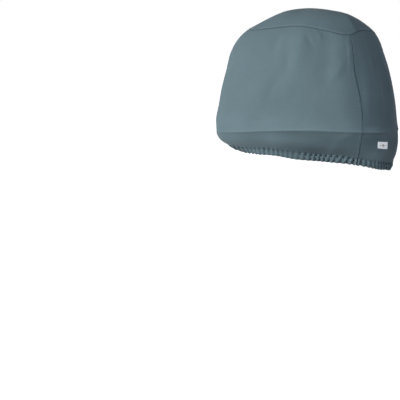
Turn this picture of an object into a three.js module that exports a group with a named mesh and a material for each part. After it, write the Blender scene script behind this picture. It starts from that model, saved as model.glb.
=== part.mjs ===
// Fitted cloth cover for the head of an outboard motor, in millimetres.
// +X points aft, +Y to starboard and +Z up. The origin is on the inner face of the crown, where
// the cover rests on what it covers.
//
// Every panel is a piece of one skin, a surface of two parameters. "ring" runs down from the crown
// to the hem and is counted in rows of SECTIONS. "angle" runs round, 0 at the aft centreline,
// negative to port, positive to starboard, and half a turn at the front.
import * as THREE from "three";

// Thickness of the cover's cloth and of the label's, and the gap between them.
const CLOTH = 2;
const LABEL_CLOTH = 1;
const SEAT = 0.5;

// Level sections of the cover's outer face, from the crown to the hem. front, side and aft are the
// section's height there, toFront and toAft its reach from the crown, and half its half width.
// corner is the angle in degrees at which its two aft corner seams stand.
const SECTIONS = [
  { front: 0, side: 0, aft: 0, toFront: 0, toAft: 0, half: 0, corner: 35 },
  { front: -12, side: -12, aft: -12, toFront: 82, toAft: 114, half: 72, corner: 35 },
  { front: -40, side: -40, aft: -40, toFront: 163, toAft: 198, half: 125, corner: 34 },
  { front: -85, side: -85, aft: -85, toFront: 241, toAft: 258, half: 167, corner: 33 },
  { front: -130, side: -130, aft: -130, toFront: 296, toAft: 290, half: 192, corner: 33.6 },
  { front: -182, side: -182, aft: -182, toFront: 329, toAft: 312, half: 208, corner: 34.3 },
  { front: -250, side: -250, aft: -250, toFront: 346, toAft: 333, half: 220, corner: 35.6 },
  { front: -340, side: -340, aft: -340, toFront: 367, toAft: 355, half: 233, corner: 34 },
  { front: -430, side: -430, aft: -430, toFront: 383, toAft: 368, half: 242, corner: 32.9 },
  { front: -481, side: -466, aft: -473, toFront: 389, toAft: 374, half: 245, corner: 33.5 },
  { front: -528, side: -489, aft: -502, toFront: 389, toAft: 377, half: 245, corner: 34.5 },
  { front: -541, side: -518, aft: -546, toFront: 387, toAft: 381, half: 239, corner: 36.4 },
  { front: -555, side: -552, aft: -587, toFront: 371, toAft: 375, half: 225, corner: 37.3 },
  { front: -568, side: -581, aft: -619, toFront: 331, toAft: 358, half: 207, corner: 37.6 },
  { front: -572, side: -606, aft: -642, toFront: 268, toAft: 343, half: 203, corner: 37.6 },
];
const CREASE_RING = 10;
const CASING_RING = 13;
const HEM_RING = SECTIONS.length - 1;

// How far the sections are pushed from an ellipse towards its box, ahead of the middle and behind.
const FRONT_SQUARENESS = 3.27;
const AFT_SQUARENESS = 2.67;
// How suddenly a section leaves its side height towards its front and its aft end.
const FRONT_FALL = 2;
const AFT_FALL = 4;

const degrees = THREE.MathUtils.degToRad;
// The cover is pulled on a little unevenly: below the crease it hangs lower at one aft corner, and
// is hitched up a little on the port side.
const HANGS = [
  { drop: 34, angle: degrees(40), width: degrees(25) },
  { drop: -8, angle: degrees(-103), width: degrees(13) },
];

// Seams: one up each aft corner, one up the middle of the front, and the cap's edge, which dips
// over the aft corners and lifts along the sides. A corner seam is at CORNER as an angle, but sways
// to the angle in its section and carries the cloth beside it along.
const CORNER = degrees(35);
const SWAY_WIDTH = degrees(18);
const FRONT = Math.PI;
const CAP_EDGE = { ring: 3.1, dip: 0.4, dipWidth: degrees(14), lift: 0.4, liftWidth: degrees(28) };
const DIP_ANGLE = degrees(37);
const LIFT_ANGLE = degrees(88);
// Half of the gap at a seam, of about 0.3 mm, as an angle and as a share of a ring.
const SEAM_ANGLE = degrees(0.035);
const SEAM_RING = 0.0035;

// Mean distances that one ring and one radian cover on the walls.
const RING_LENGTH = 55;
const TURN_LENGTH = 320;
// A small step, in rings and in radians, for reading the skin's slopes.
const NEAR = 0.02;

// Ridges where the cloth is sewn or turned under: height, and the distance in which it fades.
const SEAM_RIDGE = { height: 2, fade: 16 };
const CREASE_RIDGE = { height: 1.5, fade: 20 };
// The walls' own ridges and folds grow in over these rings, counted from the cap's edge.
const WALL_START = { from: -0.2, to: 0.6 };

// The gathered hem: pleats of GATHER in height start at PLEAT_TOP and run on over a casing, which
// puffs out by CASING_PUFF. Each panel has its number of pleats.
const AFT_GATHERS = 13;
const SIDE_GATHERS = 28;
const GATHER = 3;
const CASING_PUFF = 3;
const PLEAT_TOP = 12.2;

// Soft folds. angle, in degrees, and height give the middle. turn, in degrees, tilts the length
// from level, with the end of higher angle up. long and wide are half sizes, rise is the height.
const FOLDS = [
  { angle: -84, height: -225, turn: 86, long: 48, wide: 22, rise: -4 },
  { angle: -97, height: -137, turn: 80, long: 26, wide: 14, rise: -2.5 },
  { angle: -91, height: -142, turn: 84, long: 26, wide: 12, rise: 2 },
  { angle: -68, height: -131, turn: -55, long: 34, wide: 12, rise: -3 },
  { angle: -61, height: -105, turn: -60, long: 24, wide: 11, rise: 2.5 },
  { angle: -60, height: -248, turn: 26, long: 40, wide: 15, rise: -2.5 },
  { angle: -49, height: -258, turn: 50, long: 60, wide: 15, rise: 3 },
  { angle: -95, height: -330, turn: 66, long: 46, wide: 18, rise: -3 },
  { angle: -104, height: -456, turn: 0, long: 34, wide: 12, rise: -4 },
  { angle: -46, height: -510, turn: 24, long: 38, wide: 12, rise: 2.5 },
  { angle: -56, height: -535, turn: 60, long: 30, wide: 20, rise: -3.5 },
  { angle: -74, height: -235, turn: 86, long: 170, wide: 46, rise: 5 },
  { angle: -55, height: -235, turn: 84, long: 170, wide: 36, rise: -4 },
  { angle: -60, height: -578, turn: 0, long: 110, wide: 24, rise: -5 },
  { angle: -30, height: -300, turn: 88, long: 150, wide: 26, rise: -2.5 },
  { angle: -13, height: -300, turn: 88, long: 190, wide: 32, rise: 5 },
  { angle: 12, height: -240, turn: 100, long: 90, wide: 26, rise: 4 },
  { angle: 60, height: -270, turn: -52, long: 96, wide: 26, rise: -5 },
  { angle: 96, height: -205, turn: -78, long: 70, wide: 26, rise: -4 },
  { angle: 110, height: -340, turn: -60, long: 60, wide: 20, rise: 4 },
  { angle: 150, height: -300, turn: -80, long: 90, wide: 30, rise: -5 },
  { angle: -152, height: -280, turn: 80, long: 90, wide: 30, rise: -4 },
];

// A straight fold on the cap, where its top breaks off to its aft slope. x and y give its middle,
// turn its direction from aft, and it fades in different distances ahead of it and behind.
const CAP_FOLD = { x: 214, y: -50, turn: degrees(-29), long: 60, rise: 7, ahead: 45, behind: 26 };

// The label, sewn on the aft skirt. turn would tilt it from the level rows of the skin.
const LABEL = { width: 64, height: 27, ring: 11.03, angle: degrees(-12), turn: 0 };
const LABEL_STEPS = { across: 8, down: 4 };

const CLOTH_COLOUR = 0x6d8790;
const LABEL_COLOUR = 0xe9e8e4;

// A smooth curve through four even values, read between the middle two.
function blend(a, b, c, d, f) {
  const linear = (c - a) * f;
  const square = (2 * a - 5 * b + 4 * c - d) * f * f;
  const cube = (3 * b - a - 3 * c + d) * f ** 3;
  return (2 * b + linear + square + cube) / 2;
}

// The row of SECTIONS at a whole ring. Past the crown the rows come back on the other side, and
// past the hem they run straight on.
function sectionRow(i) {
  if (i < 0) {
    const row = SECTIONS[-i];
    return { ...row, toFront: -row.toAft, toAft: -row.toFront, half: -row.half };
  }
  if (i <= HEM_RING) return SECTIONS[i];
  const last = SECTIONS[HEM_RING];
  const before = SECTIONS[HEM_RING - 1];
  return Object.fromEntries(Object.keys(last).map((key) => [key, 2 * last[key] - before[key]]));
}

function sectionAt(ring) {
  const i = THREE.MathUtils.clamp(Math.floor(ring), 0, HEM_RING - 1);
  const rows = [-1, 0, 1, 2].map((k) => sectionRow(i + k));
  const read = (key) => blend(...rows.map((row) => row[key]), ring - i);
  return Object.fromEntries(Object.keys(SECTIONS[0]).map((key) => [key, read(key)]));
}

const bell = (distance, width) => Math.exp(-((distance / width) ** 2));

// The smooth outer face: an ellipse pushed out towards its box, at the section's height.
function skin(ring, angle) {
  const section = sectionAt(ring);
  const sway = degrees(section.corner) - CORNER;
  const carried = bell(angle - CORNER, SWAY_WIDTH) - bell(angle + CORNER, SWAY_WIDTH);
  const turned = angle + sway * carried;
  const low = THREE.MathUtils.smoothstep(ring, CREASE_RING, HEM_RING);
  const drops = HANGS.map((hang) => hang.drop * bell(turned - hang.angle, hang.width));
  const sag = low * drops.reduce((sum, drop) => sum + drop);
  const c = Math.cos(turned);
  const s = Math.sin(turned);
  const power = c < 0 ? FRONT_SQUARENESS : AFT_SQUARENESS;
  const swell = (Math.abs(c) ** power + Math.abs(s) ** power) ** (-1 / power);
  const middle = (section.toAft - section.toFront) / 2;
  const long = (section.toAft + section.toFront) / 2;
  const [end, fall] = c < 0 ? [section.front, FRONT_FALL] : [section.aft, AFT_FALL];
  return new THREE.Vector3(
    middle + long * c * swell,
    section.half * s * swell,
    section.side + (end - section.side) * c ** fall - sag,
  );
}

// The way that one ring, and one radian, leads from a place on the skin.
function slopes(ring, angle) {
  const down = skin(ring + NEAR, angle).sub(skin(ring - NEAR, angle));
  const round = skin(ring, angle + NEAR).sub(skin(ring, angle - NEAR));
  return [down, round].map((step) => step.divideScalar(2 * NEAR));
}

function skinNormal(ring, angle) {
  if (ring === 0) return new THREE.Vector3(0, 0, 1);
  const [down, round] = slopes(ring, angle);
  return down.cross(round).normalize();
}

const ridge = (shape, distance) => shape.height * Math.exp(-Math.abs(distance) / shape.fade);

// The ring at which the cap meets the walls.
function capRing(angle) {
  const off = Math.abs(angle);
  const dip = CAP_EDGE.dip * bell(off - DIP_ANGLE, CAP_EDGE.dipWidth);
  const lift = CAP_EDGE.lift * bell(off - LIFT_ANGLE, CAP_EDGE.liftWidth);
  return CAP_EDGE.ring + dip - lift;
}

function foldRelief(angle, height) {
  let sum = 0;
  for (const fold of FOLDS) {
    const across = (angle - degrees(fold.angle)) * TURN_LENGTH;
    const up = height - fold.height;
    const turn = degrees(fold.turn);
    const along = across * Math.cos(turn) + up * Math.sin(turn);
    const beside = up * Math.cos(turn) - across * Math.sin(turn);
    sum += fold.rise * bell(along, fold.long) * bell(beside, fold.wide);
  }
  return sum;
}

function capFoldRelief({ x, y }) {
  const aft = x - CAP_FOLD.x;
  const aside = y - CAP_FOLD.y;
  const along = aft * Math.cos(CAP_FOLD.turn) + aside * Math.sin(CAP_FOLD.turn);
  const beside = aside * Math.cos(CAP_FOLD.turn) - aft * Math.sin(CAP_FOLD.turn);
  const fade = beside < 0 ? CAP_FOLD.ahead : CAP_FOLD.behind;
  return ridge({ height: CAP_FOLD.rise * bell(along, CAP_FOLD.long), fade }, beside);
}

// Pleats: an even number of waves between one seam and the next, growing towards the casing.
function gatherRelief(ring, angle) {
  const off = Math.abs(angle);
  const waves =
    off < CORNER
      ? (angle / (2 * CORNER)) * AFT_GATHERS
      : ((off - CORNER) / (FRONT - CORNER)) * SIDE_GATHERS;
  const phase = off < CORNER ? waves + 0.5 : waves;
  const grown = THREE.MathUtils.smoothstep(ring, PLEAT_TOP, CASING_RING);
  const puff = Math.max(0, Math.sin(Math.PI * (ring - CASING_RING)));
  return GATHER * grown * Math.cos(2 * Math.PI * phase) + CASING_PUFF * puff;
}

// How far the real cloth stands out from the smooth face.
function relief(ring, angle) {
  const off = Math.abs(angle);
  const belowCap = ring - capRing(angle);
  const onWall = THREE.MathUtils.smoothstep(belowCap, WALL_START.from, WALL_START.to);
  const corner = ridge(SEAM_RIDGE, (off - CORNER) * TURN_LENGTH);
  const front = ridge(SEAM_RIDGE, (FRONT - off) * TURN_LENGTH);
  const cap = ridge(SEAM_RIDGE, belowCap * RING_LENGTH);
  const crease = ridge(CREASE_RIDGE, (ring - CREASE_RING) * RING_LENGTH);
  const place = skin(ring, angle);
  const folds = foldRelief(angle, place.z) * onWall + capFoldRelief(place) * (1 - onWall);
  return (corner + front) * onWall + cap + crease + folds + gatherRelief(ring, angle);
}

// One strip of triangles between two rows of vertex numbers. The lower row has as many steps as
// the upper one, or twice as many, or fans out from a single vertex.
function strip(upper, lower) {
  const faces = [];
  const steps = upper.length - 1;
  const count = lower.length - 1;
  if (steps === 0) {
    for (let j = 0; j < count; j++) faces.push([upper[0], lower[j], lower[j + 1]]);
  }
  for (let j = 0; j < steps; j++) {
    if (count === steps) {
      faces.push([upper[j], lower[j], lower[j + 1]], [upper[j], lower[j + 1], upper[j + 1]]);
    } else {
      const [left, middle, right] = lower.slice(2 * j, 2 * j + 3);
      faces.push([upper[j], left, middle], [upper[j], middle, upper[j + 1]]);
      faces.push([upper[j + 1], middle, right]);
    }
  }
  return faces;
}

// A closed sheet. place(point, depth) gives the position at a depth under the outer face, for each
// point of each row, and closed rows join their last point to the first.
function sheet(rows, place, thickness, closed = false) {
  const points = [];
  const numbered = rows.map((row) => {
    const numbers = row.map((point) => points.push(point) - 1);
    return closed && numbers.length > 1 ? [...numbers, numbers[0]] : numbers;
  });
  const faces = numbered.slice(1).flatMap((row, i) => strip(numbered[i], row));
  const inner = points.length;
  const edges = new Map();
  for (const [a, b, c] of faces) {
    for (const [from, to] of [[a, b], [b, c], [c, a]]) edges.set(from + "," + to, [from, to]);
  }
  const walls = [...edges.values()].filter(([from, to]) => !edges.has(to + "," + from));
  const index = [
    ...faces,
    ...faces.map(([a, b, c]) => [a + inner, c + inner, b + inner]),
    ...walls.flatMap(([a, b]) => [[a, a + inner, b], [b, a + inner, b + inner]]),
  ];
  const positions = [0, thickness].flatMap((depth) => points.map((point) => place(point, depth)));
  const geometry = new THREE.BufferGeometry().setFromPoints(positions);
  geometry.setIndex(index.flat());
  geometry.computeVertexNormals();
  return geometry;
}

const onSkin = ([ring, angle], depth) =>
  skin(ring, angle).addScaledVector(skinNormal(ring, angle), relief(ring, angle) - depth);

const evenly = (from, to, steps) =>
  Array.from({ length: steps + 1 }, (_, i) => from + ((to - from) * i) / steps);

// Rings of a wall's rows, from under the cap to the pleats, then of the pleats' rows to the hem,
// and the steps that those rows have to each gather.
const WALL_RINGS = [4, 4.6, 5.2, 5.9, 6.6, 7.4, 8.2, 8.9, 9.5, 10, 10.3, 10.8, 11.4];
const PLEAT_RINGS = [12, 12.5, 13, 13.5, 14];
const WALL_STEPS = 2;
const PLEAT_STEPS = 4;
const CAP_RINGS = [0, 0.5, 1, 1.5, 2, 2.5];

// A wall between two seams. Its top row follows the cap's edge.
function wall(from, to, gathers) {
  const coarse = evenly(from + SEAM_ANGLE, to - SEAM_ANGLE, WALL_STEPS * gathers);
  const fine = evenly(from + SEAM_ANGLE, to - SEAM_ANGLE, PLEAT_STEPS * gathers);
  const top = coarse.map((angle) => [capRing(angle) + SEAM_RING, angle]);
  const rows = [
    top,
    ...WALL_RINGS.map((ring) => coarse.map((angle) => [ring, angle])),
    ...PLEAT_RINGS.map((ring) => fine.map((angle) => [ring, angle])),
  ];
  return sheet(rows, onSkin, CLOTH);
}

// The cap, round the crown. Its angles are those of the walls' top rows.
function cap() {
  const aft = evenly(-CORNER, CORNER, WALL_STEPS * AFT_GATHERS);
  const starboard = evenly(CORNER, FRONT, WALL_STEPS * SIDE_GATHERS).slice(1);
  const port = evenly(-FRONT, -CORNER, WALL_STEPS * SIDE_GATHERS).slice(1, -1);
  const angles = [...aft, ...starboard, ...port];
  const rows = CAP_RINGS.map((ring) => (ring === 0 ? [[0, 0]] : angles.map((a) => [ring, a])));
  rows.push(angles.map((angle) => [capRing(angle) - SEAM_RING, angle]));
  return sheet(rows, onSkin, CLOTH, true);
}

// The label: a small sheet just outside the aft panel, laid out from its own middle.
function label() {
  const [perRing, perRadian] = slopes(LABEL.ring, LABEL.angle).map((step) => step.length());
  const across = evenly(-LABEL.width / 2, LABEL.width / 2, LABEL_STEPS.across);
  const down = evenly(-LABEL.height / 2, LABEL.height / 2, LABEL_STEPS.down);
  const rows = down.map((v) =>
    across.map((u) => {
      const round = u * Math.cos(LABEL.turn) + v * Math.sin(LABEL.turn);
      const lower = v * Math.cos(LABEL.turn) - u * Math.sin(LABEL.turn);
      return [LABEL.ring + lower / perRing, LABEL.angle + round / perRadian];
    }),
  );
  return sheet(rows, (point, depth) => onSkin(point, depth - SEAT - LABEL_CLOTH), LABEL_CLOTH);
}

const material = (color, roughness) =>
  new THREE.MeshStandardMaterial({ color, roughness, metalness: 0 });

const PIECES = {
  top_panel: [cap(), material(CLOTH_COLOUR, 0.85)],
  port_side_panel: [wall(-FRONT, -CORNER, SIDE_GATHERS), material(CLOTH_COLOUR, 0.85)],
  starboard_side_panel: [wall(CORNER, FRONT, SIDE_GATHERS), material(CLOTH_COLOUR, 0.85)],
  aft_panel: [wall(-CORNER, CORNER, AFT_GATHERS), material(CLOTH_COLOUR, 0.85)],
  label: [label(), material(LABEL_COLOUR, 0.7)],
};

const cover = new THREE.Group();
cover.name = "outboard_motor_cover";
for (const [name, [geometry, finish]] of Object.entries(PIECES)) {
  const mesh = new THREE.Mesh(geometry, finish);
  mesh.name = name;
  mesh.position.z = CLOTH;
  cover.add(mesh);
}

export default cover;
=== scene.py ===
"""A fitted cloth cover for the head of an outboard motor: domed cap, two side panels, aft panel,
gathered hem, seams with their stitches, and a small sewn label.

The tables are in millimetres and degrees, as in the CAD part, and every mesh is made in metres.
+X points aft, +Y to starboard and +Z up. The origin is under the crown, on the cloth's inner face.

Every panel is a piece of one skin. "ring" runs down from the crown to the hem, counted in rows of
SECTIONS. "angle" runs round: 0 aft, negative to port, positive to starboard, half a turn in front.
"""
import math

import bpy
import numpy as np
from mathutils import Matrix, Vector


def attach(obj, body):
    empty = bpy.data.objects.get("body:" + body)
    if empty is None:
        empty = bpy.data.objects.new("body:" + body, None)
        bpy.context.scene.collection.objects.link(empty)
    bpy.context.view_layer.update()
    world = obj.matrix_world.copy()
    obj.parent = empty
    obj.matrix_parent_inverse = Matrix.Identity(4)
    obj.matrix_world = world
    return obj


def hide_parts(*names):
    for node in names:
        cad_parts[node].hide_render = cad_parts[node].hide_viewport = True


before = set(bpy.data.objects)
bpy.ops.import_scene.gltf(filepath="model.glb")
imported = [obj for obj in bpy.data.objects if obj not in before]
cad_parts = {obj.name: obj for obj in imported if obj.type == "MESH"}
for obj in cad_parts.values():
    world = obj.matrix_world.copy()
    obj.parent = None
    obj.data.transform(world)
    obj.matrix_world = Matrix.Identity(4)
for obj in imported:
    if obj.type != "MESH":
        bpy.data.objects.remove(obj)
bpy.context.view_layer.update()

MM = 0.001

# The camera: azimuth from port towards aft, elevation, and the pixel of the photograph, in its
# 400 by 400 frame, at which it shows a point that far under the crown.
VIEW_AZIMUTH = 31
VIEW_ELEVATION = 2.0
VIEW_DISTANCE = 6.0
METRES_A_PIXEL = 0.00417
PICTURE = 400
SENSOR = 36
AIM_HEIGHT = -0.248
AIM_PIXEL = (309, 69)

# Thickness of the drawn cloth and of the label's, and the gap under the label.
CAD_CLOTH = 2.0
CLOTH = 1.3
LABEL_CLOTH = 0.7
SEAT = 0.5

# Sections of the cover's outer face, from the crown to the hem. front, side and aft are the
# section's height there, to_front and to_aft its reach from the crown, and half its half width.
# corner is the angle in degrees at which its two aft corner seams stand.
SECTIONS = np.array([
    # front, side, aft, to_front, to_aft, half, corner
    (0, 0, 0, 0, 0, 0, 35),
    (-12, -12, -12, 82, 114, 72, 35),
    (-40, -40, -40, 163, 198, 125, 34),
    (-85, -85, -85, 241, 258, 167, 33),
    (-130, -130, -130, 296, 290, 192, 33.6),
    (-182, -182, -182, 329, 312, 208, 34.3),
    (-250, -250, -250, 346, 333, 220, 35.6),
    (-340, -340, -340, 367, 355, 233, 34),
    (-430, -430, -430, 383, 368, 242, 32.9),
    (-481, -466, -473, 389, 374, 245, 33.5),
    (-528, -489, -502, 389, 377, 245, 34.5),
    (-541, -518, -546, 387, 381, 239, 36.4),
    (-555, -552, -587, 371, 375, 225, 37.3),
    (-568, -581, -619, 331, 358, 207, 37.6),
    (-572, -606, -642, 268, 343, 203, 37.6),
], float)
CREASE_RING = 10
CASING_RING = 13
HEM_RING = len(SECTIONS) - 1

# How far the sections are pushed from an ellipse towards its box, and how suddenly a section
# leaves its side height towards its front and its aft end.
FRONT_SQUARENESS = 3.27
AFT_SQUARENESS = 2.67
FRONT_FALL = 2
AFT_FALL = 4
# The cover is pulled on a little unevenly: below the crease it hangs lower at one aft corner, and
# is hitched up a little on the port side.
HANGS = (
    {"drop": 34, "angle": math.radians(40), "width": math.radians(25)},
    {"drop": -8, "angle": math.radians(-103), "width": math.radians(13)},
)

# Seams: one up each aft corner, one up the middle of the front, and the cap's edge, which dips
# over the aft corners and lifts along the sides. A corner seam is at CORNER as an angle, but sways
# to the angle in its section and carries the cloth beside it along.
CORNER = math.radians(35)
SWAY_WIDTH = math.radians(18)
FRONT = math.pi
CAP_RING = 3.1
CAP_DIP = {"rings": 0.4, "angle": math.radians(37), "width": math.radians(14)}
CAP_LIFT = {"rings": 0.4, "angle": math.radians(88), "width": math.radians(28)}

# Mean distances that one ring and one radian cover on the walls, and one ring at the hem's casing,
# and a small step for slopes.
RING_LENGTH = 55
TURN_LENGTH = 320
HEM_RING_LENGTH = RING_LENGTH / 2
NEAR = 0.02

# Soft ridges where the cloth is sewn or turned under: height, and the distance in which it fades.
# The crease is higher by CREASE_MORE at two places, as a share. CREASE_SHIFT moves it by rings in
# front and aft, and goes from one to the other between two cosines of the angle.
SEAM_RIDGE = {"height": 0.6, "fade": 18}
CREASE = {"height": 4, "fade_above": 30, "fade_below": 14}
CREASE_MORE = (
    {"more": 2.1, "angle": math.radians(-20), "width": math.radians(18)},
    {"more": -0.6, "angle": math.radians(-146), "width": math.radians(16)},
)
CREASE_SHIFT = {"front": 0.28, "aft": -0.25, "from": -0.4, "to": 0.55}

# The rings over which the walls' own relief grows in, from the cap's edge, and the undulations',
# from the crown.
WALL_START = (-0.2, 0.6)
WAVE_START = (0, 1.5)

# A lapped seam: the upper panel's folded edge is a flat band with two sunk rows of stitches. The
# lower panel is drawn down beside it and runs on under it, most at CORNER_PULL. The stitches gather
# the cloth into short puckers, which drift and swell: how much, and in how many puckers' pitch.
# ON_TOP names the seams at which each panel is the upper one.
LIP = {"height": 0.6, "width": 9, "shoulder": 5}
STITCH_ROWS = (2.2, 7.2)
STITCH_SINK = {"depth": 0.4, "width": 1.1}
TUCK = {"depth": 2.4, "width": 2.4, "under": 0.9, "start": -1}
CORNER_PULL = {"more": 0.9, "height": -275, "reach": 110}
PUCKER = {"height": 0.5, "pitch": 19, "reach": 20, "drift": (1.7, 5.3), "swell": (0.3, 3.1)}
UNDERLAP_RINGS = 0.18
UNDERLAP_ANGLE = 0.026
ON_TOP = {"cap": ("cap",), "port": ("corner", "front"), "starboard": ("corner",), "aft": ()}

# The gathered hem: pleats start above a casing, which puffs out, and run on over it. They are
# deeper by END_GATHER at the front and aft, start at the ring PLEAT_TOP, moved by
# PLEAT_TOP_SHIFTS, and are full at PLEAT_FULL. The UNEVEN tables hold sines round the cover, each
# with its size, number and phase: of the pleats' places, depths and starts. The hem's edge is half
# a circle with the radius HEM_ROLL, less HEM_ROLL_UNDER under another panel, and the cloth goes on
# up inside by HEM_TURNED.
PLEAT_PITCH = 22
GATHER = 2.6
END_GATHER = 1.4
GATHER_SHARPNESS = 1.3
CASING_PUFF = 1
CASING_SINK = {"depth": 1.6, "width": 3}
PLEAT_TOP = 12.7
PLEAT_TOP_SHIFTS = (
    {"rings": 0.3, "angle": math.radians(-47), "width": math.radians(17)},
    {"rings": -0.4, "angle": math.radians(-110), "width": math.radians(30)},
)
PLEAT_FULL = CASING_RING + 0.1
UNEVEN_PLACES = ((0.012, 7, 1), (0.008, 13, 2))
UNEVEN_DEPTHS = ((0.25, 5, 0.7), (0.2, 11, 2.4))
UNEVEN_STARTS = ((0.2, 9, 0),)
PLEAT_LEAN = {"aft": -0.5, "port": 0.44}
MORE_LEAN = {"more": 0.3, "angle": math.radians(-46), "width": math.radians(15)}
HEM_ROLL = 2.4
HEM_ROLL_UNDER = 1.2
HEM_TURNED = 20

# Soft folds. angle, in degrees, and height give the middle. turn, in degrees, tilts the length
# from level, with the end of higher angle up. long and wide are half sizes, rise is the height.
FOLD_COLUMNS = ("angle", "height", "turn", "long", "wide", "rise")
FOLDS = (
    (-84, -225, 86, 48, 22, -4),
    (-97, -137, 80, 26, 14, -2.5),
    (-91, -142, 84, 26, 12, 2),
    (-68, -131, -55, 34, 12, -3),
    (-61, -105, -60, 24, 11, 2.5),
    (-60, -248, 26, 40, 15, -2.5),
    (-49, -258, 50, 60, 15, 3),
    (-38, -190, 88, 75, 9, 2),
    (-95, -330, 66, 46, 18, -3),
    (-104, -456, 0, 34, 12, -4),
    (-46, -510, 24, 38, 12, 2.5),
    (-56, -535, 60, 30, 20, -3.5),
    (-74, -235, 86, 170, 46, 7),
    (-55, -235, 84, 170, 36, -6),
    (-60, -578, 0, 110, 24, -6),
    (-30, -300, 88, 150, 26, -2.5),
    (-13, -300, 88, 190, 32, 5),
    (12, -240, 100, 90, 26, 4),
    (60, -270, -52, 96, 26, -5),
    (96, -205, -78, 70, 26, -4),
    (110, -340, -60, 60, 20, 4),
    (150, -300, -80, 90, 30, -5),
    (-152, -280, 80, 90, 30, -4),
    (-146, -456, 0, 80, 36, 4),
)

# A straight fold on the cap, where its top breaks off to its aft slope. x and y give its middle,
# turn its direction from aft, and it fades in different distances ahead of it and behind. A
# shallow hollow lies behind it.
CAP_FOLD = {"x": 214, "y": -50, "turn": math.radians(-29), "long": 60}
CAP_FOLD_SHAPE = {"rise": 9, "ahead": 45, "behind": 26}
CAP_HOLLOW = {"depth": 3, "behind": 36, "width": 22}

# Painted light and shade in the canvas's tone, in millimetres of seam: paler on the skirt at its ends, as
# painted light, and much darker on its sides, where it turns in most, as painted shade; darker on the
# casing, as painted shade; and paler above the crease, as a painted highlight, as a share of how far the
# cloth stands out there. Skirt and casing begin over a few tenths of a ring. The patches, with the columns
# of FOLDS, are places painted paler or darker, as painted light and painted shade.
SKIRT_START = (-0.1, 0.15)
CASING_START = (-0.3, 0)
SKIRT_PAINTED_SHADING = {"ends": 1.6, "less": 7.2, "angle": math.radians(72), "width": math.radians(42)}
CASING_PAINTED_SHADE = -0.8
CREASE_PAINTED_HIGHLIGHT = 0.5
PAINTED_SHADING_PATCHES = (
    (-31, -350, 88, 90, 14, 3),
    (-27, -482, 0, 40, 14, 2.5),
    (-22, -522, 0, 70, 20, -2),
    (-19, -592, 0, 62, 26, 7.5),
    (-15, -628, 0, 66, 20, 2.5),
    (-70, -190, 86, 110, 40, -1.2),
    (14, -360, 90, 300, 134, -3),
    (9, -560, 0, 80, 70, -4.5),
    (-88, -522, 0, 110, 24, 3.6),
    (-67, -580, 0, 50, 24, -1.6),
    (-110, -460, 0, 200, 34, 1.4),
    (-44, -460, 0, 40, 40, 1.8),
)

# The label, sewn on the aft skirt. turn would tilt it from the level rows of the skin.
LABEL = {"width": 64, "height": 27, "ring": 11.03, "angle": math.radians(-12), "turn": 0}
LABEL_CURL = {"height": 0.6, "across": 6, "down": 4}
LABEL_COLUMNS, LABEL_ROWS = 34, 17
LABEL_STITCH_INSET = 2.4

# Faint undulations of stretched cloth: plane waves in space, longer up and down than round.
WAVES = 36
WAVE_LENGTHS = (40, 200)
WAVE_HEIGHT = 0.55
WAVE_FLATTEN = 0.5
SEED = 7

# Spacing of the points of a panel in millimetres: fine at a seam or crease, coarse away from it,
# and how far the fine spacing reaches. A wall's rows are level from the ring FOLLOW_TO down.
# FINE_STEPS is the number of points on a line along which a way is measured.
COLUMN_SPACING = (1.3, 2.4, 18)
ROW_SPACING = (1.8, 7, 22)
CAP_SPACING = (1.3, 4.6, 22)
CAP_COLUMNS = 420
FOLLOW_TO = 5.5
HEM_ROLL_STEPS = 5
HEM_TURNED_STEPS = 5
FINE_STEPS = 3001

# Stitches: thread thickness, length and pitch. They are drawn half as large again as real ones.
THREAD = 1.2
STITCH = 4.6
STITCH_PITCH = 6.2
STITCH_SIDES = 6
STITCH_SHAPE = ((-0.85, 0.6), (-0.35, 1.0), (0.35, 1.0), (0.85, 0.6))
# How deep the middle of a stitch lies in the cloth, and the ring at which the walls' rows start.
STITCH_DEPTH = 0.25 * THREAD
SEAM_TOP = 3.55

# Canvas: the two colours that its tone runs between, the tone itself, and what it gains by fading, uneven
# yarn, each millimetre of painted light and shade, and the weave. FADING_SCALE is patches a metre, and YARN
# the streaks' width and length. Real canvas has a thread every 0.5 mm. It is drawn three times as coarse, so
# that it shows.
CANVAS_DARK = 0x304146
CANVAS_PALE = 0x798E93
CANVAS_TONE = {"middle": 0.373, "fading": 0.16, "yarn": 0.107, "painted_shading": 0.047, "weave": 0.02}
CANVAS_SURFACE = {"Roughness": 0.82, "IOR": 1.46, "Specular IOR Level": 0.3, "Sheen Weight": 0.05,
                  "Sheen Roughness": 0.5}
FADING_SCALE = 6
YARN = (0.002, 0.05)
THREAD_SPACING = 0.0015
CANVAS_BUMP = {"Distance": 0.00015, "Strength": 0.6}

# Sewing thread: two colours, and the bands of its twist.
THREAD_DARK = 0x5C6E76
THREAD_PALE = 0x7A8D95
THREAD_ROUGHNESS = 0.5
TWIST = {"Scale": 300, "Distortion": 1}

# Label ribbon: its whites and the greys of its bar and block, which are given as half width and half height
# in metres, the spacing of its ribs, and a painted glow that makes it brighter than the light on it allows.
LABEL_WHITE = 0xFBFBF9
LABEL_SHADE = 0xEDEDEA
LABEL_GREY = 0xC2C1BC
LABEL_INK = 0x86817A
LABEL_BAR = (0.024, 0.0026)
LABEL_BLOCK = (0.006, 0.0052)
LABEL_RIB = 0.0007
LABEL_TONE = {"middle": 0.3, "rib": 0.15}
LABEL_ROUGHNESS = 0.55
LABEL_PAINTED_GLOW = 0.16
LABEL_BUMP = {"Distance": 0.0001, "Strength": 0.5}

# The floor lies where the motor's lowest point would be, and is wide enough to have no edge.
FLOOR_PAINT = 0xF2F2F0
FLOOR_ROUGHNESS = 0.9
FLOOR_GLOW = 0.7
FLOOR_HEIGHT = -1.62
FLOOR_REACH = 60.0
VIEW_END = 200

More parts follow.
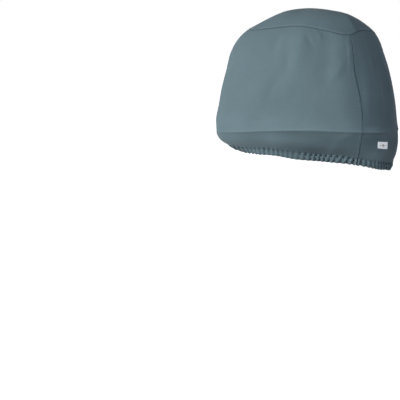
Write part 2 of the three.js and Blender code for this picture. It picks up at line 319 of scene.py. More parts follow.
# Light: a broad soft lamp far off to the front and port, and soft light from all round, strongest
# a little above the eye and gone at SKY_HALF above and below that. The floor throws none of it
# back, so that the skirt stays in shade. SKY_SHOWN is what the camera sees.
KEY_AZIMUTH = -27
KEY_ELEVATION = 11
KEY_SIZE = 80
KEY_POWER = 4.15
SKY_LIGHT = 1.98
SKY_TINT = 0xE1EBFD
SKY_WHITE = 0xFFFFFF
SKY_MIDDLE = 0.12
SKY_HALF = 0.33
SKY_SHOWN = 1.0


def bell(distance, width):
    """A soft bump: one in the middle, about a third at width, and nothing far off."""
    return np.exp(-((distance / width) ** 2))


def rise(value, low, high):
    """Nought below low, one above high, and a smooth S between."""
    t = np.clip((value - low) / (high - low), 0, 1)
    return t * t * (3 - 2 * t)


def read_sections(ring):
    """The columns of SECTIONS at fractional rings: a Catmull-Rom curve through the rows, which go
    on past the crown as their mirror image and past the hem in a straight line."""
    front, side, aft, to_front, to_aft, half, corner = SECTIONS[1]
    mirrored = (front, side, aft, -to_aft, -to_front, -half, corner)
    rows = np.vstack([mirrored, SECTIONS, 2 * SECTIONS[-1] - SECTIONS[-2]])
    i = np.clip(np.floor(ring), 0, HEM_RING - 1).astype(int)
    f = (ring - i)[..., None]
    a, b, c, d = rows[i], rows[i + 1], rows[i + 2], rows[i + 3]
    straight = (c - a) * f
    square = (2 * a - 5 * b + 4 * c - d) * f**2
    cube = (3 * b - a - 3 * c + d) * f**3
    return np.moveaxis((2 * b + straight + square + cube) / 2, -1, 0)


def skin(ring, angle):
    """The smooth outer face: an ellipse pushed out towards its box, at the section's height, which
    falls or rises towards its ends with a power of the cosine."""
    ring, angle = np.broadcast_arrays(np.asarray(ring, float), np.asarray(angle, float))
    front, side, aft, to_front, to_aft, half, corner = read_sections(ring)
    sway = np.radians(corner) - CORNER
    turned = angle + sway * (bell(angle - CORNER, SWAY_WIDTH) - bell(angle + CORNER, SWAY_WIDTH))
    c = np.cos(turned)
    s = np.sin(turned)
    power = np.where(c < 0, FRONT_SQUARENESS, AFT_SQUARENESS)
    swell = (np.abs(c) ** power + np.abs(s) ** power) ** (-1 / power)
    fall = np.where(c < 0, (front - side) * c**FRONT_FALL, (aft - side) * c**AFT_FALL)
    drops = sum(hang["drop"] * bell(turned - hang["angle"], hang["width"]) for hang in HANGS)
    sag = drops * rise(ring, CREASE_RING, HEM_RING)
    x = (to_aft - to_front) / 2 + (to_aft + to_front) / 2 * c * swell
    return np.stack([x, half * s * swell, side + fall - sag], axis=-1)


def unit(v):
    """Vectors drawn out or in to a length of one."""
    return v / np.linalg.norm(v, axis=-1, keepdims=True)


def slopes(ring, angle):
    """The way that one ring, and one radian, leads from a place on the skin."""
    down = (skin(ring + NEAR, angle) - skin(ring - NEAR, angle)) / (2 * NEAR)
    around = (skin(ring, angle + NEAR) - skin(ring, angle - NEAR)) / (2 * NEAR)
    return down, around


def skin_normal(ring, angle):
    """The way out of the smooth face."""
    down, around = slopes(ring, angle)
    return unit(np.cross(down, around))


def cap_ring(angle):
    """The ring at which the cap meets the walls."""
    off = np.abs(angle)
    dip = CAP_DIP["rings"] * bell(off - CAP_DIP["angle"], CAP_DIP["width"])
    lift = CAP_LIFT["rings"] * bell(off - CAP_LIFT["angle"], CAP_LIFT["width"])
    return CAP_RING + dip - lift


def ridge(shape, distance):
    """A ridge with a sharp top that fades on both sides."""
    return shape["height"] * np.exp(-np.abs(distance) / shape["fade"])


def lapped(distance, along, upper, pull):
    """Height beside a lapped seam, on its upper or lower panel, at a distance into that panel in
    millimetres: a flat band less two sunk rows, or a trough that goes on under the band, deeper and
    wider by pull. Ripples a pitch apart but uneven cross the seam and fade away from it."""
    turns = 2 * math.pi * along / PUCKER["pitch"]
    (drift, drift_pitch), (swell, swell_pitch) = PUCKER["drift"], PUCKER["swell"]
    wave = np.sin(turns + drift * np.sin(turns / drift_pitch))
    wave = wave * (1 - swell + swell * np.sin(turns / swell_pitch))
    ripples = PUCKER["height"] * wave * np.exp(-np.abs(distance) / PUCKER["reach"])
    if upper:
        band = LIP["height"] * (1 - rise(distance, LIP["width"], LIP["width"] + LIP["shoulder"]))
        return ripples + band - STITCH_SINK["depth"] * sum(
            bell(distance - row, STITCH_SINK["width"]) for row in STITCH_ROWS
        )
    under = TUCK["under"] * (1 - rise(distance, TUCK["start"], 2 * TUCK["width"]))
    return ripples - TUCK["depth"] * pull * bell(distance, TUCK["width"] * pull) - under


def folds(table, angle, height):
    """The sum of a table of folds: each is a bell along its length times a bell across it."""
    total = 0
    for row in table:
        fold = dict(zip(FOLD_COLUMNS, row))
        across = (angle - math.radians(fold["angle"])) * TURN_LENGTH
        up = height - fold["height"]
        turn = math.radians(fold["turn"])
        along = across * math.cos(turn) + up * math.sin(turn)
        beside = up * math.cos(turn) - across * math.sin(turn)
        total = total + fold["rise"] * bell(along, fold["long"]) * bell(beside, fold["wide"])
    return total


def cap_fold(place):
    """The fold on the cap: a ridge with a sharp top, less the hollow, times a bell along its length."""
    aft, aside = place[..., 0] - CAP_FOLD["x"], place[..., 1] - CAP_FOLD["y"]
    turn = CAP_FOLD["turn"]
    along = aft * math.cos(turn) + aside * math.sin(turn)
    beside = aside * math.cos(turn) - aft * math.sin(turn)
    fade = np.where(beside < 0, CAP_FOLD_SHAPE["ahead"], CAP_FOLD_SHAPE["behind"])
    edge = CAP_FOLD_SHAPE["rise"] * np.exp(-np.abs(beside) / fade)
    hollow = CAP_HOLLOW["depth"] * bell(beside - CAP_HOLLOW["behind"], CAP_HOLLOW["width"])
    return bell(along, CAP_FOLD["long"]) * (edge - hollow)


def uneven(waves, angle):
    """A sum of sines round the cover: each has its size, number and phase."""
    return sum(size * np.sin(number * angle + phase) for size, number, phase in waves)


def gather_wave(ring, angle):
    """Pleats: waves with round tops and sharp valleys, from -1 to 1, a pitch apart along the hem and
    whole between one seam and the next. The hem is tugged to port and aft, so that they lean by a
    sine of the angle from the casing's middle, and most at MORE_LEAN."""
    lean = PLEAT_LEAN["aft"] * np.cos(angle) - PLEAT_LEAN["port"] * np.sin(angle)
    lean = lean + MORE_LEAN["more"] * bell(angle - MORE_LEAN["angle"], MORE_LEAN["width"])
    up = ((CASING_RING + HEM_RING) / 2 - ring) * RING_LENGTH / TURN_LENGTH
    moved = angle - lean * up + uneven(UNEVEN_PLACES, angle)
    moved = (moved + FRONT) % (2 * FRONT) - FRONT
    turn = np.linspace(0, FRONT, FINE_STEPS)
    way = travelled(skin(np.full(FINE_STEPS, HEM_RING), -turn))
    corner = np.interp(CORNER, turn, way)
    here = np.interp(np.abs(moved), turn, way)
    side = way[-1] - corner
    waves = np.where(
        here < corner,
        here / (2 * corner) * 2 * round(corner / PLEAT_PITCH) + 0.5,
        (here - corner) / side * round(side / PLEAT_PITCH),
    )
    return 2 * np.abs(np.cos(math.pi * waves)) ** GATHER_SHARPNESS - 1


def hem_relief(ring, angle):
    """Pleats that grow from PLEAT_TOP to the casing, and the casing's puff below its sunk seam."""
    depth = GATHER * (1 + uneven(UNEVEN_DEPTHS, angle)) * (1 + END_GATHER * np.cos(angle) ** 2)
    shifts = (shift["rings"] * bell(angle - shift["angle"], shift["width"]) for shift in PLEAT_TOP_SHIFTS)
    start = PLEAT_TOP + uneven(UNEVEN_STARTS, angle) + sum(shifts)
    grown = rise(ring, start, PLEAT_FULL)
    puff = CASING_PUFF * np.sin(math.pi * np.clip(ring - CASING_RING, 0, 1))
    sink = CASING_SINK["depth"] * bell((ring - CASING_RING) * HEM_RING_LENGTH, CASING_SINK["width"])
    return depth * grown * gather_wave(ring, angle) + puff - sink


def undulation(points):
    """A sum of plane waves of seeded random direction, length and phase, higher where longer."""
    rng = np.random.default_rng(SEED)
    ways = unit(rng.normal(size=(WAVES, 3))) * (1, 1, WAVE_FLATTEN)
    lengths = rng.uniform(*WAVE_LENGTHS, WAVES)
    phases = rng.uniform(0, 2 * math.pi, WAVES)
    heights = WAVE_HEIGHT * lengths / WAVE_LENGTHS[1]
    turns = points @ (ways * (2 * math.pi / lengths)[:, None]).T + phases
    return np.sin(turns) @ heights


def distances(ring, angle, panel):
    """The way from each seam of a panel into it, in millimetres: the rings or the angle from the
    seam, times what one of them covers there. It is negative where the panel runs on under it."""
    fall = np.linalg.norm(slopes(cap_ring(angle), angle)[0], axis=-1)
    below = (ring - cap_ring(angle)) * fall
    if panel == "cap":
        return {"cap": -below}
    at_corner = np.linalg.norm(slopes(ring, np.full_like(ring, CORNER))[1], axis=-1)
    at_front = np.linalg.norm(slopes(ring, np.full_like(ring, FRONT))[1], axis=-1)
    aside = (np.abs(angle) - CORNER) * at_corner
    if panel == "aft":
        return {"cap": below, "corner": -aside}
    ahead = FRONT - angle if panel == "starboard" else FRONT + angle
    return {"cap": below, "corner": aside, "front": ahead * at_front}


def relief(ring, angle, panel):
    """How far the cloth stands out from the smooth face, and the painted light and shade in its tone: paler
    where seams and pleats stand out, as painted highlights, darker where they sink in, as painted shade, and
    as the skirt's painted shading and the values after it say."""
    place = skin(ring, angle)
    on_wall = rise(ring - cap_ring(angle), *WALL_START)
    sewn = hem_relief(ring, angle)
    soft = 0
    for seam, distance in distances(ring, angle, panel).items():
        along = angle * TURN_LENGTH if seam == "cap" else place[..., 2]
        pull = 1 + CORNER_PULL["more"] * (seam == "corner") * bell(
            place[..., 2] - CORNER_PULL["height"], CORNER_PULL["reach"]
        )
        sewn = sewn + lapped(distance, along, seam in ON_TOP[panel], pull)
        soft = soft + ridge(SEAM_RIDGE, distance) * (1 if seam == "cap" else on_wall)
    loose = folds(FOLDS, angle, place[..., 2]) * on_wall + cap_fold(place) * (1 - on_wall)
    loose = loose + undulation(place) * rise(ring, *WAVE_START)
    crease = crease_relief(ring, angle)
    # Painted shading: paler on the skirt at its ends and darker on its sides, painted shade on the casing, a
    # painted highlight above the crease, and painted patches on the walls.
    on_skirt = rise(ring - crease_ring(angle), *SKIRT_START)
    on_side = bell(np.abs(angle) - SKIRT_PAINTED_SHADING["angle"], SKIRT_PAINTED_SHADING["width"])
    painted_shading = sewn + (SKIRT_PAINTED_SHADING["ends"] - SKIRT_PAINTED_SHADING["less"] * on_side) * on_skirt
    painted_shading = painted_shading + CREASE_PAINTED_HIGHLIGHT * crease * (1 - on_skirt) + folds(PAINTED_SHADING_PATCHES, angle, place[..., 2]) * on_wall
    painted_shading = painted_shading + CASING_PAINTED_SHADE * rise(ring - CASING_RING, *CASING_START)
    return sewn + soft + crease + loose, painted_shading


def crease_ring(angle):
    """The ring of the crease, which runs a little lower in front and higher aft than its section."""
    towards_aft = rise(np.cos(angle), CREASE_SHIFT["from"], CREASE_SHIFT["to"])
    return CREASE_RING + CREASE_SHIFT["front"] + (CREASE_SHIFT["aft"] - CREASE_SHIFT["front"]) * towards_aft


def crease_relief(ring, angle):
    """The crease under the widest part: the cloth flares out towards it and turns in below it. It
    is sharpest on one side of the aft panel, and soft at a front corner."""
    distance = (ring - crease_ring(angle)) * RING_LENGTH
    fade = np.where(distance < 0, CREASE["fade_above"], CREASE["fade_below"])
    more = sum(place["more"] * bell(angle - place["angle"], place["width"]) for place in CREASE_MORE)
    return CREASE["height"] * (1 + more) * np.exp(-np.abs(distance) / fade)


def cloth(ring, angle, panel, depth=0.0):
    """Points of a panel's cloth at a depth under its outer face, in metres."""
    ring, angle = np.broadcast_arrays(np.asarray(ring, float), np.asarray(angle, float))
    out = skin_normal(ring, angle) * (relief(ring, angle, panel)[0] - depth)[..., None]
    return (skin(ring, angle) + out) * MM + (0, 0, CAD_CLOTH * MM)


def crowded(length, places, fine, coarse, reach):
    """Distances from 0 to length. Their spacing grows from fine at the given places to coarse."""
    s = np.linspace(0, length, FINE_STEPS)
    close = np.max([bell(s - place, reach) for place in places], axis=0)
    count = np.concatenate([[0], np.cumsum(np.diff(s) / (coarse - (coarse - fine) * close)[1:])])
    return np.interp(np.linspace(0, count[-1], round(count[-1]) + 1), count, s)


def travelled(points):
    """The distance along each line of points, from its first."""
    steps = np.linalg.norm(np.diff(points, axis=0), axis=-1)
    return np.concatenate([np.zeros((1, *steps.shape[1:])), np.cumsum(steps, axis=0)])


def turn_angles(start, stop):
    """Angles between two seams, crowded towards them, even in distance round the crease."""
    angles = np.linspace(start, stop, FINE_STEPS)
    way = travelled(skin(np.full(FINE_STEPS, CREASE_RING), angles))
    return np.interp(crowded(way[-1], (0, way[-1]), *COLUMN_SPACING), way, angles)


def wall_rings():
    """Rings from under the cap's edge to the hem, crowded at the edge, the crease and the casing."""
    rings = np.linspace(CAP_RING - UNDERLAP_RINGS, HEM_RING, FINE_STEPS)
    way = travelled(skin(rings, np.full(FINE_STEPS, -math.pi / 2)))
    places = np.interp((CAP_RING, CREASE_RING, CASING_RING, HEM_RING), rings, way)
    return np.interp(crowded(way[-1], places, *ROW_SPACING), way, rings)


def new_mesh(name, points, groups, material, uv, painted_shading):
    """A smooth mesh object at the origin, from groups of faces with like numbers of corners. uv and
    worn hold one row and one number for each point."""
    mesh = bpy.data.meshes.new(name)
    mesh.from_pydata(points.tolist(), [], [face for group in groups for face in group.tolist()])
    mesh.polygons.foreach_set("use_smooth", np.ones(len(mesh.polygons), bool))
    corners = np.empty(len(mesh.loops), dtype=np.int32)
    mesh.loops.foreach_get("vertex_index", corners)
    mesh.uv_layers.new(name="cloth").data.foreach_set("uv", uv[corners].astype(np.float32).ravel())
    mesh.attributes.new("painted_shading", "FLOAT", "POINT").data.foreach_set("value", painted_shading.astype(np.float32))
    mesh.materials.append(material)
    mesh.update()
    made = bpy.data.objects.new(name, mesh)
    bpy.context.scene.collection.objects.link(made)
    return made


def quads(numbers):
    """Faces of a grid of point numbers, each from its upper left corner down and then round."""
    a, b = numbers[:-1, :-1], numbers[1:, :-1]
    c, d = numbers[1:, 1:], numbers[:-1, 1:]
    return np.stack([a, b, c, d], axis=-1).reshape(-1, 4)


def outline(numbers):
    """The border of a grid of point numbers, followed the way that its faces turn."""
    return np.concatenate([numbers[0, ::-1], numbers[1:, 0], numbers[-1, 1:], numbers[-2::-1, -1]])


def closed_sheet(name, outer, inner, groups, rim, uv, painted_shading, material):
    """A sheet with a thickness: the faces of the outer layer, the same ones turned round on the
    inner layer, and quads from one to the other along the rim."""
    below = len(outer)
    band = np.stack([rim[:-1], rim[:-1] + below, rim[1:] + below, rim[1:]], axis=-1)
    groups = [*groups, *(group[:, ::-1] + below for group in groups), band]
    points = np.concatenate([outer, inner])
    return new_mesh(name, points, groups, material, np.tile(uv, (2, 1)), np.tile(painted_shading, 2))


def hem_turn(angles, panel, depth):
    """The turned hem under the hem's edge: half a circle inwards, then straight up inside by
    HEM_TURNED. The circle is smaller where the panel lies under another. Returns the points and
    the way that each row is from the edge."""
    ring = np.full_like(angles, HEM_RING)
    edge = cloth(ring, angles, panel)
    down, out = unit(slopes(ring, angles)[0]), skin_normal(ring, angles)
    ways = [way for seam, way in distances(ring, angles, panel).items() if seam not in ON_TOP[panel]]
    roll = (HEM_ROLL - HEM_ROLL_UNDER * (1 - rise(np.min(ways, axis=0), 0, LIP["width"])))[:, None]
    phi = np.linspace(0, math.pi, HEM_ROLL_STEPS + 1)[1:, None, None]
    up = np.linspace(0, HEM_TURNED, HEM_TURNED_STEPS + 1)[1:, None, None]
    facing = out * np.cos(phi) + down * np.sin(phi)
    rolled = roll * (down * np.sin(phi) - out * (1 - np.cos(phi))) - facing * depth
    inside = -2 * roll * out - down * up + out * depth
    way = np.concatenate([HEM_ROLL * phi.ravel(), HEM_ROLL * math.pi + up.ravel()])
    return edge + np.concatenate([rolled, inside]) * MM, way


def wall(name, panel, start, stop, material):
    """A panel from the angle start to the angle stop, and from under the cap's edge down to its
    turned hem. Its upper rows follow the cap's edge and the lower ones are level. Its UV map is
    the cloth laid flat, in metres."""
    angles = turn_angles(start, stop)
    rings = wall_rings()
    follow = np.clip((FOLLOW_TO - rings) / (FOLLOW_TO - CAP_RING), 0, 1) ** 2
    ring = rings[:, None] + follow[:, None] * (cap_ring(angles) - CAP_RING)
    angle = np.broadcast_to(angles, ring.shape)
    turned, way = hem_turn(angles, panel, 0)
    outer = np.concatenate([cloth(ring, angle, panel), turned])
    inner = np.concatenate([cloth(ring, angle, panel, CLOTH), hem_turn(angles, panel, CLOTH)[0]])
    place = skin(ring, angle)
    down = travelled(place)
    across = travelled(np.swapaxes(place, 0, 1)).T
    across = across - across[:, across.shape[1] // 2, None]
    down = np.concatenate([down, down[-1] + way[:, None]])
    across, painted_shading = (np.concatenate([rows, np.tile(rows[-1], (len(way), 1))])
                    for rows in (across, relief(ring, angle, panel)[1]))
    numbers = np.arange(outer.size // 3).reshape(outer.shape[:2])
    uv = np.stack([across, -down], axis=-1).reshape(-1, 2) * MM
    return closed_sheet(name, outer.reshape(-1, 3), inner.reshape(-1, 3), [quads(numbers)],
                        outline(numbers), uv, painted_shading.ravel(), material)


def cap(name, material):
    """The cap: one point at the crown, then closed rings of points, each the edge's ring drawn in.
    Its UV map is the way from the crown, in the direction seen from above, in metres."""
    turn = np.linspace(-math.pi, math.pi, FINE_STEPS)
    way = travelled(skin(np.full(FINE_STEPS, CAP_RING), turn))
    angles = np.interp(np.linspace(0, way[-1], CAP_COLUMNS + 1)[:-1], way, turn)
    share = np.linspace(0, 1, FINE_STEPS)
    reach = travelled(skin(share * CAP_RING, np.full(FINE_STEPS, -math.pi / 2)))
    rows = np.interp(crowded(reach[-1], (reach[-1],), *CAP_SPACING), reach, share)[1:]
    ring = rows[:, None] * cap_ring(angles)
    angle = np.broadcast_to(angles, ring.shape)
    place = skin(ring, angle)
    down = travelled(np.concatenate([np.zeros_like(place[:1]), place]))[1:, :, None]
    crown = np.array([(0, 0, CAD_CLOTH * MM)])
    outer = np.concatenate([crown, cloth(ring, angle, "cap").reshape(-1, 3)])
    inner = cloth(ring, angle, "cap", CLOTH).reshape(-1, 3)
    inner = np.concatenate([crown - (0, 0, CLOTH * MM), inner])
    numbers = np.arange(1, len(outer)).reshape(ring.shape)
    numbers = np.concatenate([numbers, numbers[:, :1]], axis=1)
    fan = np.stack([np.zeros_like(numbers[0, 1:]), numbers[0, :-1], numbers[0, 1:]], axis=-1)
    uv = np.concatenate([[(0, 0)], (unit(place[..., :2]) * down).reshape(-1, 2) * MM])
    painted_shading = np.concatenate([[0], relief(ring, angle, "cap")[1].ravel()])
    return closed_sheet(name, outer, inner, [quads(numbers), fan], numbers[-1], uv, painted_shading, material)


def label(name, material):
    """A small sheet just outside the aft panel, laid out in millimetres from its own middle and
    turned there, with its corners lifted a little where the stitches pull its sides down."""
    u = np.linspace(-0.5, 0.5, LABEL_COLUMNS)[None, :] * LABEL["width"]
    v = np.linspace(-0.5, 0.5, LABEL_ROWS)[:, None] * LABEL["height"]
    u, v = np.broadcast_arrays(u, v)
    ring, angle = label_place(u, v)
    near_side = (np.abs(u) / LABEL["width"] * 2) ** LABEL_CURL["across"]
    near_top = (np.abs(v) / LABEL["height"] * 2) ** LABEL_CURL["down"]
    curl = LABEL_CURL["height"] * near_side * near_top
    outer = cloth(ring, angle, "aft", -(SEAT + LABEL_CLOTH + curl)).reshape(-1, 3)
    inner = cloth(ring, angle, "aft", -(SEAT + curl)).reshape(-1, 3)
    numbers = np.arange(len(outer)).reshape(u.shape)
    uv = np.stack([u, -v], axis=-1).reshape(-1, 2) * MM
    return closed_sheet(name, outer, inner, [quads(numbers)], outline(numbers), uv,
                        np.zeros(len(outer)), material)


def label_place(u, v):
    """Ring and angle of a place on the label, u millimetres to starboard and v down."""
    per_ring, per_radian = (np.linalg.norm(way) for way in slopes(np.float64(LABEL["ring"]), LABEL["angle"]))
    around = u * math.cos(LABEL["turn"]) + v * math.sin(LABEL["turn"])
    lower = v * math.cos(LABEL["turn"]) - u * math.sin(LABEL["turn"])
    return LABEL["ring"] + lower / per_ring, LABEL["angle"] + around / per_radian


def stitches(name, panel, lines, lift, material):
    """Stitches along several lines of places, a pitch apart. Each is a short bead: rings of points
    round its length, narrower towards two end points, laid out by STITCH_SHAPE."""
    along, size = np.array(STITCH_SHAPE).T[:, :, None]
    round_ = np.linspace(0, 2 * math.pi, STITCH_SIDES, endpoint=False)
    x = np.broadcast_to(along * STITCH / 2, (len(STITCH_SHAPE), STITCH_SIDES)).ravel()
    y = (size * np.cos(round_) * THREAD / 2).ravel()
    z = (size * np.sin(round_) * THREAD / 2).ravel()
    ends = ((-STITCH / 2, STITCH / 2), (0, 0), (0, 0))
    bead = np.stack([np.append(row, end) for row, end in zip((x, y, z), ends)])
    sides = np.arange(x.size).reshape(len(STITCH_SHAPE), STITCH_SIDES)
    sides = np.concatenate([sides, sides[:, :1]], axis=1)
    first, last = sides[0], sides[-1]
    start, end = np.full(STITCH_SIDES, x.size), np.full(STITCH_SIDES, x.size + 1)
    start_fan = np.stack([start, first[1:], first[:-1]], axis=-1)
    end_fan = np.stack([end, last[:-1], last[1:]], axis=-1)
    groups = [quads(sides)[:, ::-1], start_fan, end_fan]
    placed = []
    for ring, angle in lines:
        points = cloth(ring, angle, panel, -lift)
        out = skin_normal(ring, angle)
        way = travelled(points)
        count = int(way[-1] / (STITCH_PITCH * MM))
        at = (np.arange(count) + 0.5) * way[-1] / count
        middle = read_line(at, way, points)
        ahead = unit(read_line(at + NEAR * MM * STITCH, way, points) - middle)
        normal = read_line(at, way, out)
        beside = unit(np.cross(normal, ahead))
        up = np.cross(ahead, beside)
        axes = np.stack([ahead, beside, up], axis=1) * MM
        placed.append(middle[:, None] + np.einsum("ij,nik->njk", bead, axes))
    placed = np.concatenate(placed)
    steps = np.arange(len(placed))[:, None, None] * bead.shape[1]
    groups = [(group[None] + steps).reshape(-1, group.shape[1]) for group in groups]
    points = placed.reshape(-1, 3)
    return new_mesh(name, points, groups, material, points[:, :2], np.zeros(len(points)))


def read_line(at, way, values):
    """Values at distances along a line, read between its points."""
    return np.stack([np.interp(at, way, column) for column in values.T], axis=-1)


def upright_lines(seam, into):
    """Rows of stitches up the seam at an angle, on the panel that lies on top there: into is 1 where
    that panel has the greater angles, and -1 where it has the smaller."""
    ring = np.linspace(SEAM_TOP, HEM_RING, FINE_STEPS)
    per_radian = np.linalg.norm(slopes(ring, np.full_like(ring, abs(seam)))[1], axis=-1)
    return [(ring, seam + into * row / per_radian) for row in STITCH_ROWS]


def cap_lines():
    """Rows of stitches round the cap, just inside its edge."""
    angle = np.linspace(-math.pi, math.pi, FINE_STEPS)
    per_ring = np.linalg.norm(slopes(cap_ring(angle), angle)[0], axis=-1)
    return [(cap_ring(angle) - row / per_ring, angle) for row in STITCH_ROWS]


def casing_line(start, stop):
    """The row of stitches that closes the hem's casing."""
    angle = np.linspace(start, stop, FINE_STEPS)
    return [(np.full_like(angle, CASING_RING), angle)]


def label_lines():
    """Four rows of stitches, a little inside the label's sides."""
    u, v = LABEL["width"] / 2 - LABEL_STITCH_INSET, LABEL["height"] / 2 - LABEL_STITCH_INSET
    corners = ((-u, -v), (u, -v), (u, v), (-u, v), (-u, -v))
    t = np.linspace(0, 1, FINE_STEPS)
    return [label_place(a[0] + (b[0] - a[0]) * t, a[1] + (b[1] - a[1]) * t)
            for a, b in zip(corners, corners[1:])]


def linear(hexadecimal):
    """An sRGB colour such as 0x6D8790 as the linear values that a shader takes."""
    s = np.array([hexadecimal >> shift & 255 for shift in (16, 8, 0)]) / 255
    return (*np.where(s <= 0.04045, s / 12.92, ((s + 0.055) / 1.055) ** 2.4), 1)


def add(tree, kind, inputs=(), **settings):
    """Adds a node with its settings. inputs holds a value, or a socket to link, for each input."""
    made = tree.nodes.new("ShaderNode" + kind)
    for key, value in settings.items():
        setattr(made, key, value)
    for key, value in dict(inputs).items():
        if isinstance(value, bpy.types.NodeSocket):
            tree.links.new(value, made.inputs[key])
        else:
            made.inputs[key].default_value = value
    return made


def new_material(name, surface):
    """A material with the values of surface on its shader's own sockets, its nodes and its shader."""
    material = bpy.data.materials.new(name)
    material.use_nodes = True
    shader = material.node_tree.nodes["Principled BSDF"]
    for key, value in surface.items():
        shader.inputs[key].default_value = value
    return material, material.node_tree, shader


def colour_between(tree, low, high, factor):
    """A colour from low to high as factor goes from nought to one. A mix node has its two colours in
    the sockets 6 and 7, and its colour out of socket 2."""
    return add(tree, "Mix", {"Factor": factor, 6: low, 7: high}, data_type="RGBA").outputs[2]


def maths(tree, operation, *values):
    """The output of a maths node, from sockets or numbers."""
    return add(tree, "Math", enumerate(values), operation=operation).outputs[0]


def weave(tree, pitch):
    """The height of a plain weave: a chequer of small cushions, the product of a sine wave along
    the warp and one along the weft, each two thread spacings long."""
    flat = add(tree, "UVMap", uv_map="cloth").outputs[0]
    split = add(tree, "SeparateXYZ", {0: flat})
    turns = math.pi / pitch
    angles = (maths(tree, "MULTIPLY", split.outputs[i], turns) for i in (0, 1))
    return flat, maths(tree, "MULTIPLY", *[maths(tree, "SINE", angle) for angle in angles])


def streaks(tree, flat, across, along):
    """Noise drawn out along one direction of the cloth, as uneven yarn gives: spacings in metres."""
    scaled = add(tree, "Mapping", {"Vector": flat, "Scale": (1 / across, 1 / along, 1)})
    return add(tree, "TexNoise", {"Vector": scaled.outputs[0], "Scale": 1, "Detail": 2}).outputs[0]


def canvas():
    """Coated acrylic canvas, solution dyed: a matt, slightly heathered grey teal, with a fine weave and
    faint fading in patches. Painted highlights make it paler along folded edges and painted shade darker in
    the depth of the pleats, with more painted light and shade on the skirt and casing, above the crease and
    in patches."""
    material, tree, shader = new_material("coated_acrylic_canvas", CANVAS_SURFACE)
    flat, height = weave(tree, THREAD_SPACING)
    place = add(tree, "TexCoord").outputs["Object"]
    fading = add(tree, "TexNoise", {"Vector": place, "Scale": FADING_SCALE, "Detail": 3}).outputs[0]
    yarn = maths(tree, "ADD", streaks(tree, flat, *YARN), streaks(tree, flat, *YARN[::-1]))
    # Painted light and shade, one number a point: paler on raised seams, pleat crests, the skirt's ends and
    # above the crease, and darker in seam troughs, pleat valleys, on the skirt's sides and the casing.
    painted_shading = add(tree, "Attribute", attribute_name="painted_shading").outputs["Fac"]
    tone = maths(tree, "MULTIPLY_ADD", fading, CANVAS_TONE["fading"], CANVAS_TONE["middle"])
    tone = maths(tree, "MULTIPLY_ADD", maths(tree, "SUBTRACT", yarn, 1.0), CANVAS_TONE["yarn"], tone)
    tone = maths(tree, "MULTIPLY_ADD", painted_shading, CANVAS_TONE["painted_shading"], tone)
    tone = maths(tree, "MULTIPLY_ADD", height, CANVAS_TONE["weave"], tone)
    colour = colour_between(tree, linear(CANVAS_DARK), linear(CANVAS_PALE), tone)
    tree.links.new(colour, shader.inputs["Base Color"])
    bump = add(tree, "Bump", {"Height": height, **CANVAS_BUMP})
    tree.links.new(bump.outputs[0], shader.inputs["Normal"])
    return material


def sewing_thread():
    """Bonded polyester thread: smooth and a little shiny, near the cloth's colour."""
    surface = {"Roughness": THREAD_ROUGHNESS}
    material, tree, shader = new_material("bonded_polyester_thread", surface)
    place = add(tree, "TexCoord").outputs["Object"]
    wave = add(tree, "TexWave", {"Vector": place, **TWIST}, bands_direction="DIAGONAL")
    colour = colour_between(tree, linear(THREAD_DARK), linear(THREAD_PALE), wave.outputs["Fac"])
    tree.links.new(colour, shader.inputs["Base Color"])
    return material


def label_ribbon():
    """Woven polyester ribbon: white, close and faintly ribbed, with a plain grey bar woven in. A faint
    painted glow, light that the ribbon gives off though it is no lamp, makes it a little whiter than white
    paint."""
    # Painted glow: the ribbon gives off a little light of its own white.
    glow = {"Emission Color": linear(LABEL_WHITE), "Emission Strength": LABEL_PAINTED_GLOW}
    surface = {"Roughness": LABEL_ROUGHNESS, **glow}
    material, tree, shader = new_material("woven_polyester_ribbon", surface)
    flat, height = weave(tree, LABEL_RIB)
    split = add(tree, "SeparateXYZ", {0: flat})
    bar = box_mask(tree, split, LABEL_BAR)
    block = box_mask(tree, split, LABEL_BLOCK)
    ribbed = maths(tree, "MULTIPLY_ADD", height, LABEL_TONE["rib"], LABEL_TONE["middle"])
    white = colour_between(tree, linear(LABEL_WHITE), linear(LABEL_SHADE), ribbed)
    grey = colour_between(tree, white, linear(LABEL_GREY), bar)
    ink = colour_between(tree, grey, linear(LABEL_INK), block)
    tree.links.new(ink, shader.inputs["Base Color"])
    bump = add(tree, "Bump", {"Height": height, **LABEL_BUMP})
    tree.links.new(bump.outputs[0], shader.inputs["Normal"])
    return material


def box_mask(tree, split, size):
    """One inside a box round the middle of the UV map, and nought outside it. size is its half
    width and half height in metres."""
    off = [maths(tree, "ABSOLUTE", split.outputs[i]) for i in (0, 1)]
    inside = [maths(tree, "LESS_THAN", off[i], size[i]) for i in (0, 1)]
    return maths(tree, "MULTIPLY", *inside)


def pale_floor():
    """Painted studio floor: even, pale and matt, and bright enough to need no lamp of its own."""
    paint = linear(FLOOR_PAINT)
    glow = {"Emission Color": paint, "Emission Strength": FLOOR_GLOW}
    return new_material("pale_studio_paint", {"Base Color": paint, "Roughness": FLOOR_ROUGHNESS, **glow})[0]


def look_from(azimuth, elevation):
    """The direction towards a viewer: azimuth 0 stands to port, and 90 aft."""
    a, e = math.radians(azimuth), math.radians(elevation)
    return Vector((math.sin(a) * math.cos(e), -math.cos(a) * math.cos(e), math.sin(e)))


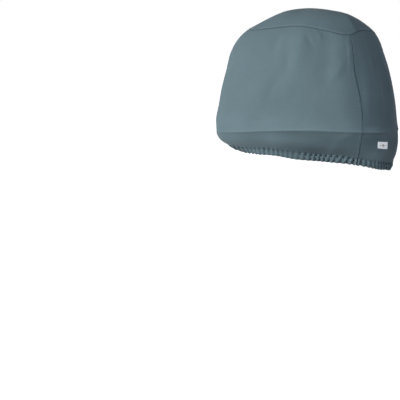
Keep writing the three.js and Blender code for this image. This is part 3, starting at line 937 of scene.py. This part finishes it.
def add_camera():
    """A level camera turned so that the aim point falls on its pixel. It is first pitched: with the
    pixel's ray (x, y, 1), the ray leads down by the elevation. Then it is turned round upright."""
    focal = VIEW_DISTANCE / METRES_A_PIXEL
    x = (AIM_PIXEL[0] - PICTURE / 2) / focal
    y = (PICTURE / 2 - AIM_PIXEL[1]) / focal
    back = look_from(VIEW_AZIMUTH, VIEW_ELEVATION)
    fall = back.z * math.sqrt(1 + x * x + y * y)
    pitch = -math.asin(fall / math.sqrt(1 + y * y)) - math.atan(y)
    heading = math.radians(VIEW_AZIMUTH) + math.atan2(x, math.cos(pitch) - y * math.sin(pitch))
    data = bpy.data.cameras.new("camera")
    data.sensor_width = SENSOR
    data.lens = focal * SENSOR / PICTURE
    data.clip_end = VIEW_END
    camera = bpy.data.objects.new("camera", data)
    turned = Matrix.Rotation(heading, 4, "Z") @ Matrix.Rotation(math.pi / 2 + pitch, 4, "X")
    place = Vector((0, 0, AIM_HEIGHT)) + back * VIEW_DISTANCE
    camera.matrix_world = Matrix.Translation(place) @ turned
    bpy.context.scene.collection.objects.link(camera)
    bpy.context.scene.camera = camera


def add_light():
    """The lamp, and surroundings that light the cover by their height but look even and pale."""
    data = bpy.data.lights.new("key", "SUN")
    data.energy = KEY_POWER
    data.angle = math.radians(KEY_SIZE)
    key = bpy.data.objects.new("key", data)
    key.rotation_euler = look_from(KEY_AZIMUTH, KEY_ELEVATION).to_track_quat("Z", "Y").to_euler()
    bpy.context.scene.collection.objects.link(key)
    world = bpy.data.worlds.new("surroundings")
    world.use_nodes = True
    tree = world.node_tree
    seen = add(tree, "LightPath").outputs["Is Camera Ray"]
    height = add(tree, "SeparateXYZ", {0: add(tree, "TexCoord").outputs["Generated"]}).outputs[2]
    off = maths(tree, "ABSOLUTE", maths(tree, "SUBTRACT", height, SKY_MIDDLE))
    ranges = {"Value": off, "From Min": 0, "From Max": SKY_HALF, "To Min": SKY_LIGHT, "To Max": 0}
    light = add(tree, "MapRange", ranges).outputs[0]
    strength = add(tree, "Mix", {"Factor": seen, "A": light, "B": SKY_SHOWN}).outputs[0]
    colour = colour_between(tree, linear(SKY_TINT), linear(SKY_WHITE), seen)
    tree.links.new(colour, tree.nodes["Background"].inputs["Color"])
    tree.links.new(strength, tree.nodes["Background"].inputs["Strength"])
    bpy.context.scene.world = world
    bpy.context.scene.view_settings.view_transform = "Standard"


def add_floor():
    """One flat square that throws no light back on the cover."""
    sides = ((-1, -1), (1, -1), (1, 1), (-1, 1))
    corners = np.array([(x * FLOOR_REACH, y * FLOOR_REACH, FLOOR_HEIGHT) for x, y in sides])
    floor = new_mesh("floor", corners, [np.arange(4)[None]], pale_floor(), corners[:, :2], np.zeros(4))
    floor.visible_diffuse = False


add_camera()
add_light()
add_floor()

cover_canvas, thread, ribbon = canvas(), sewing_thread(), label_ribbon()

top = cap("cap_cloth", cover_canvas)
port = wall("port_cloth", "port", -FRONT, -CORNER, cover_canvas)
starboard = wall("starboard_cloth", "starboard", CORNER, FRONT + UNDERLAP_ANGLE, cover_canvas)
aft = wall("aft_cloth", "aft", -CORNER - UNDERLAP_ANGLE, CORNER + UNDERLAP_ANGLE, cover_canvas)
tag = label("label_ribbon", ribbon)

port_lines = [*upright_lines(-CORNER, -1), *upright_lines(-FRONT, 1), *casing_line(-FRONT, -CORNER)]
starboard_lines = [*upright_lines(CORNER, 1), *casing_line(CORNER, FRONT)]
cap_sewing = stitches("cap_stitches", "cap", cap_lines(), STITCH_DEPTH, thread)
port_sewing = stitches("port_stitches", "port", port_lines, STITCH_DEPTH, thread)
starboard_sewing = stitches("starboard_stitches", "starboard", starboard_lines, STITCH_DEPTH, thread)
aft_sewing = stitches("aft_stitches", "aft", casing_line(-CORNER, CORNER), STITCH_DEPTH, thread)
tag_sewing = stitches("label_stitches", "aft", label_lines(), SEAT + LABEL_CLOTH, ribbon)

# Each sheet with the CAD node that it stands for, its stitches, and its cut in metres: width,
# length and flat area. The walls' cuts are gathered at the hem, so they are wider than they look.
SHEETS = (
    (top, "top_panel", cap_sewing, (0.57, 0.38), 0.177),
    (port, "port_side_panel", port_sewing, (0.94, 0.66), 0.497),
    (starboard, "starboard_side_panel", starboard_sewing, (0.94, 0.66), 0.51),
    (aft, "aft_panel", aft_sewing, (0.36, 0.63), 0.203),
    (tag, "label", tag_sewing, (0.064, 0.027), 0.0017),
)
for cloth_piece, node, sewing, cut, area in SHEETS:
    for piece in (cloth_piece, sewing):
        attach(piece, "root")
    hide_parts(node)
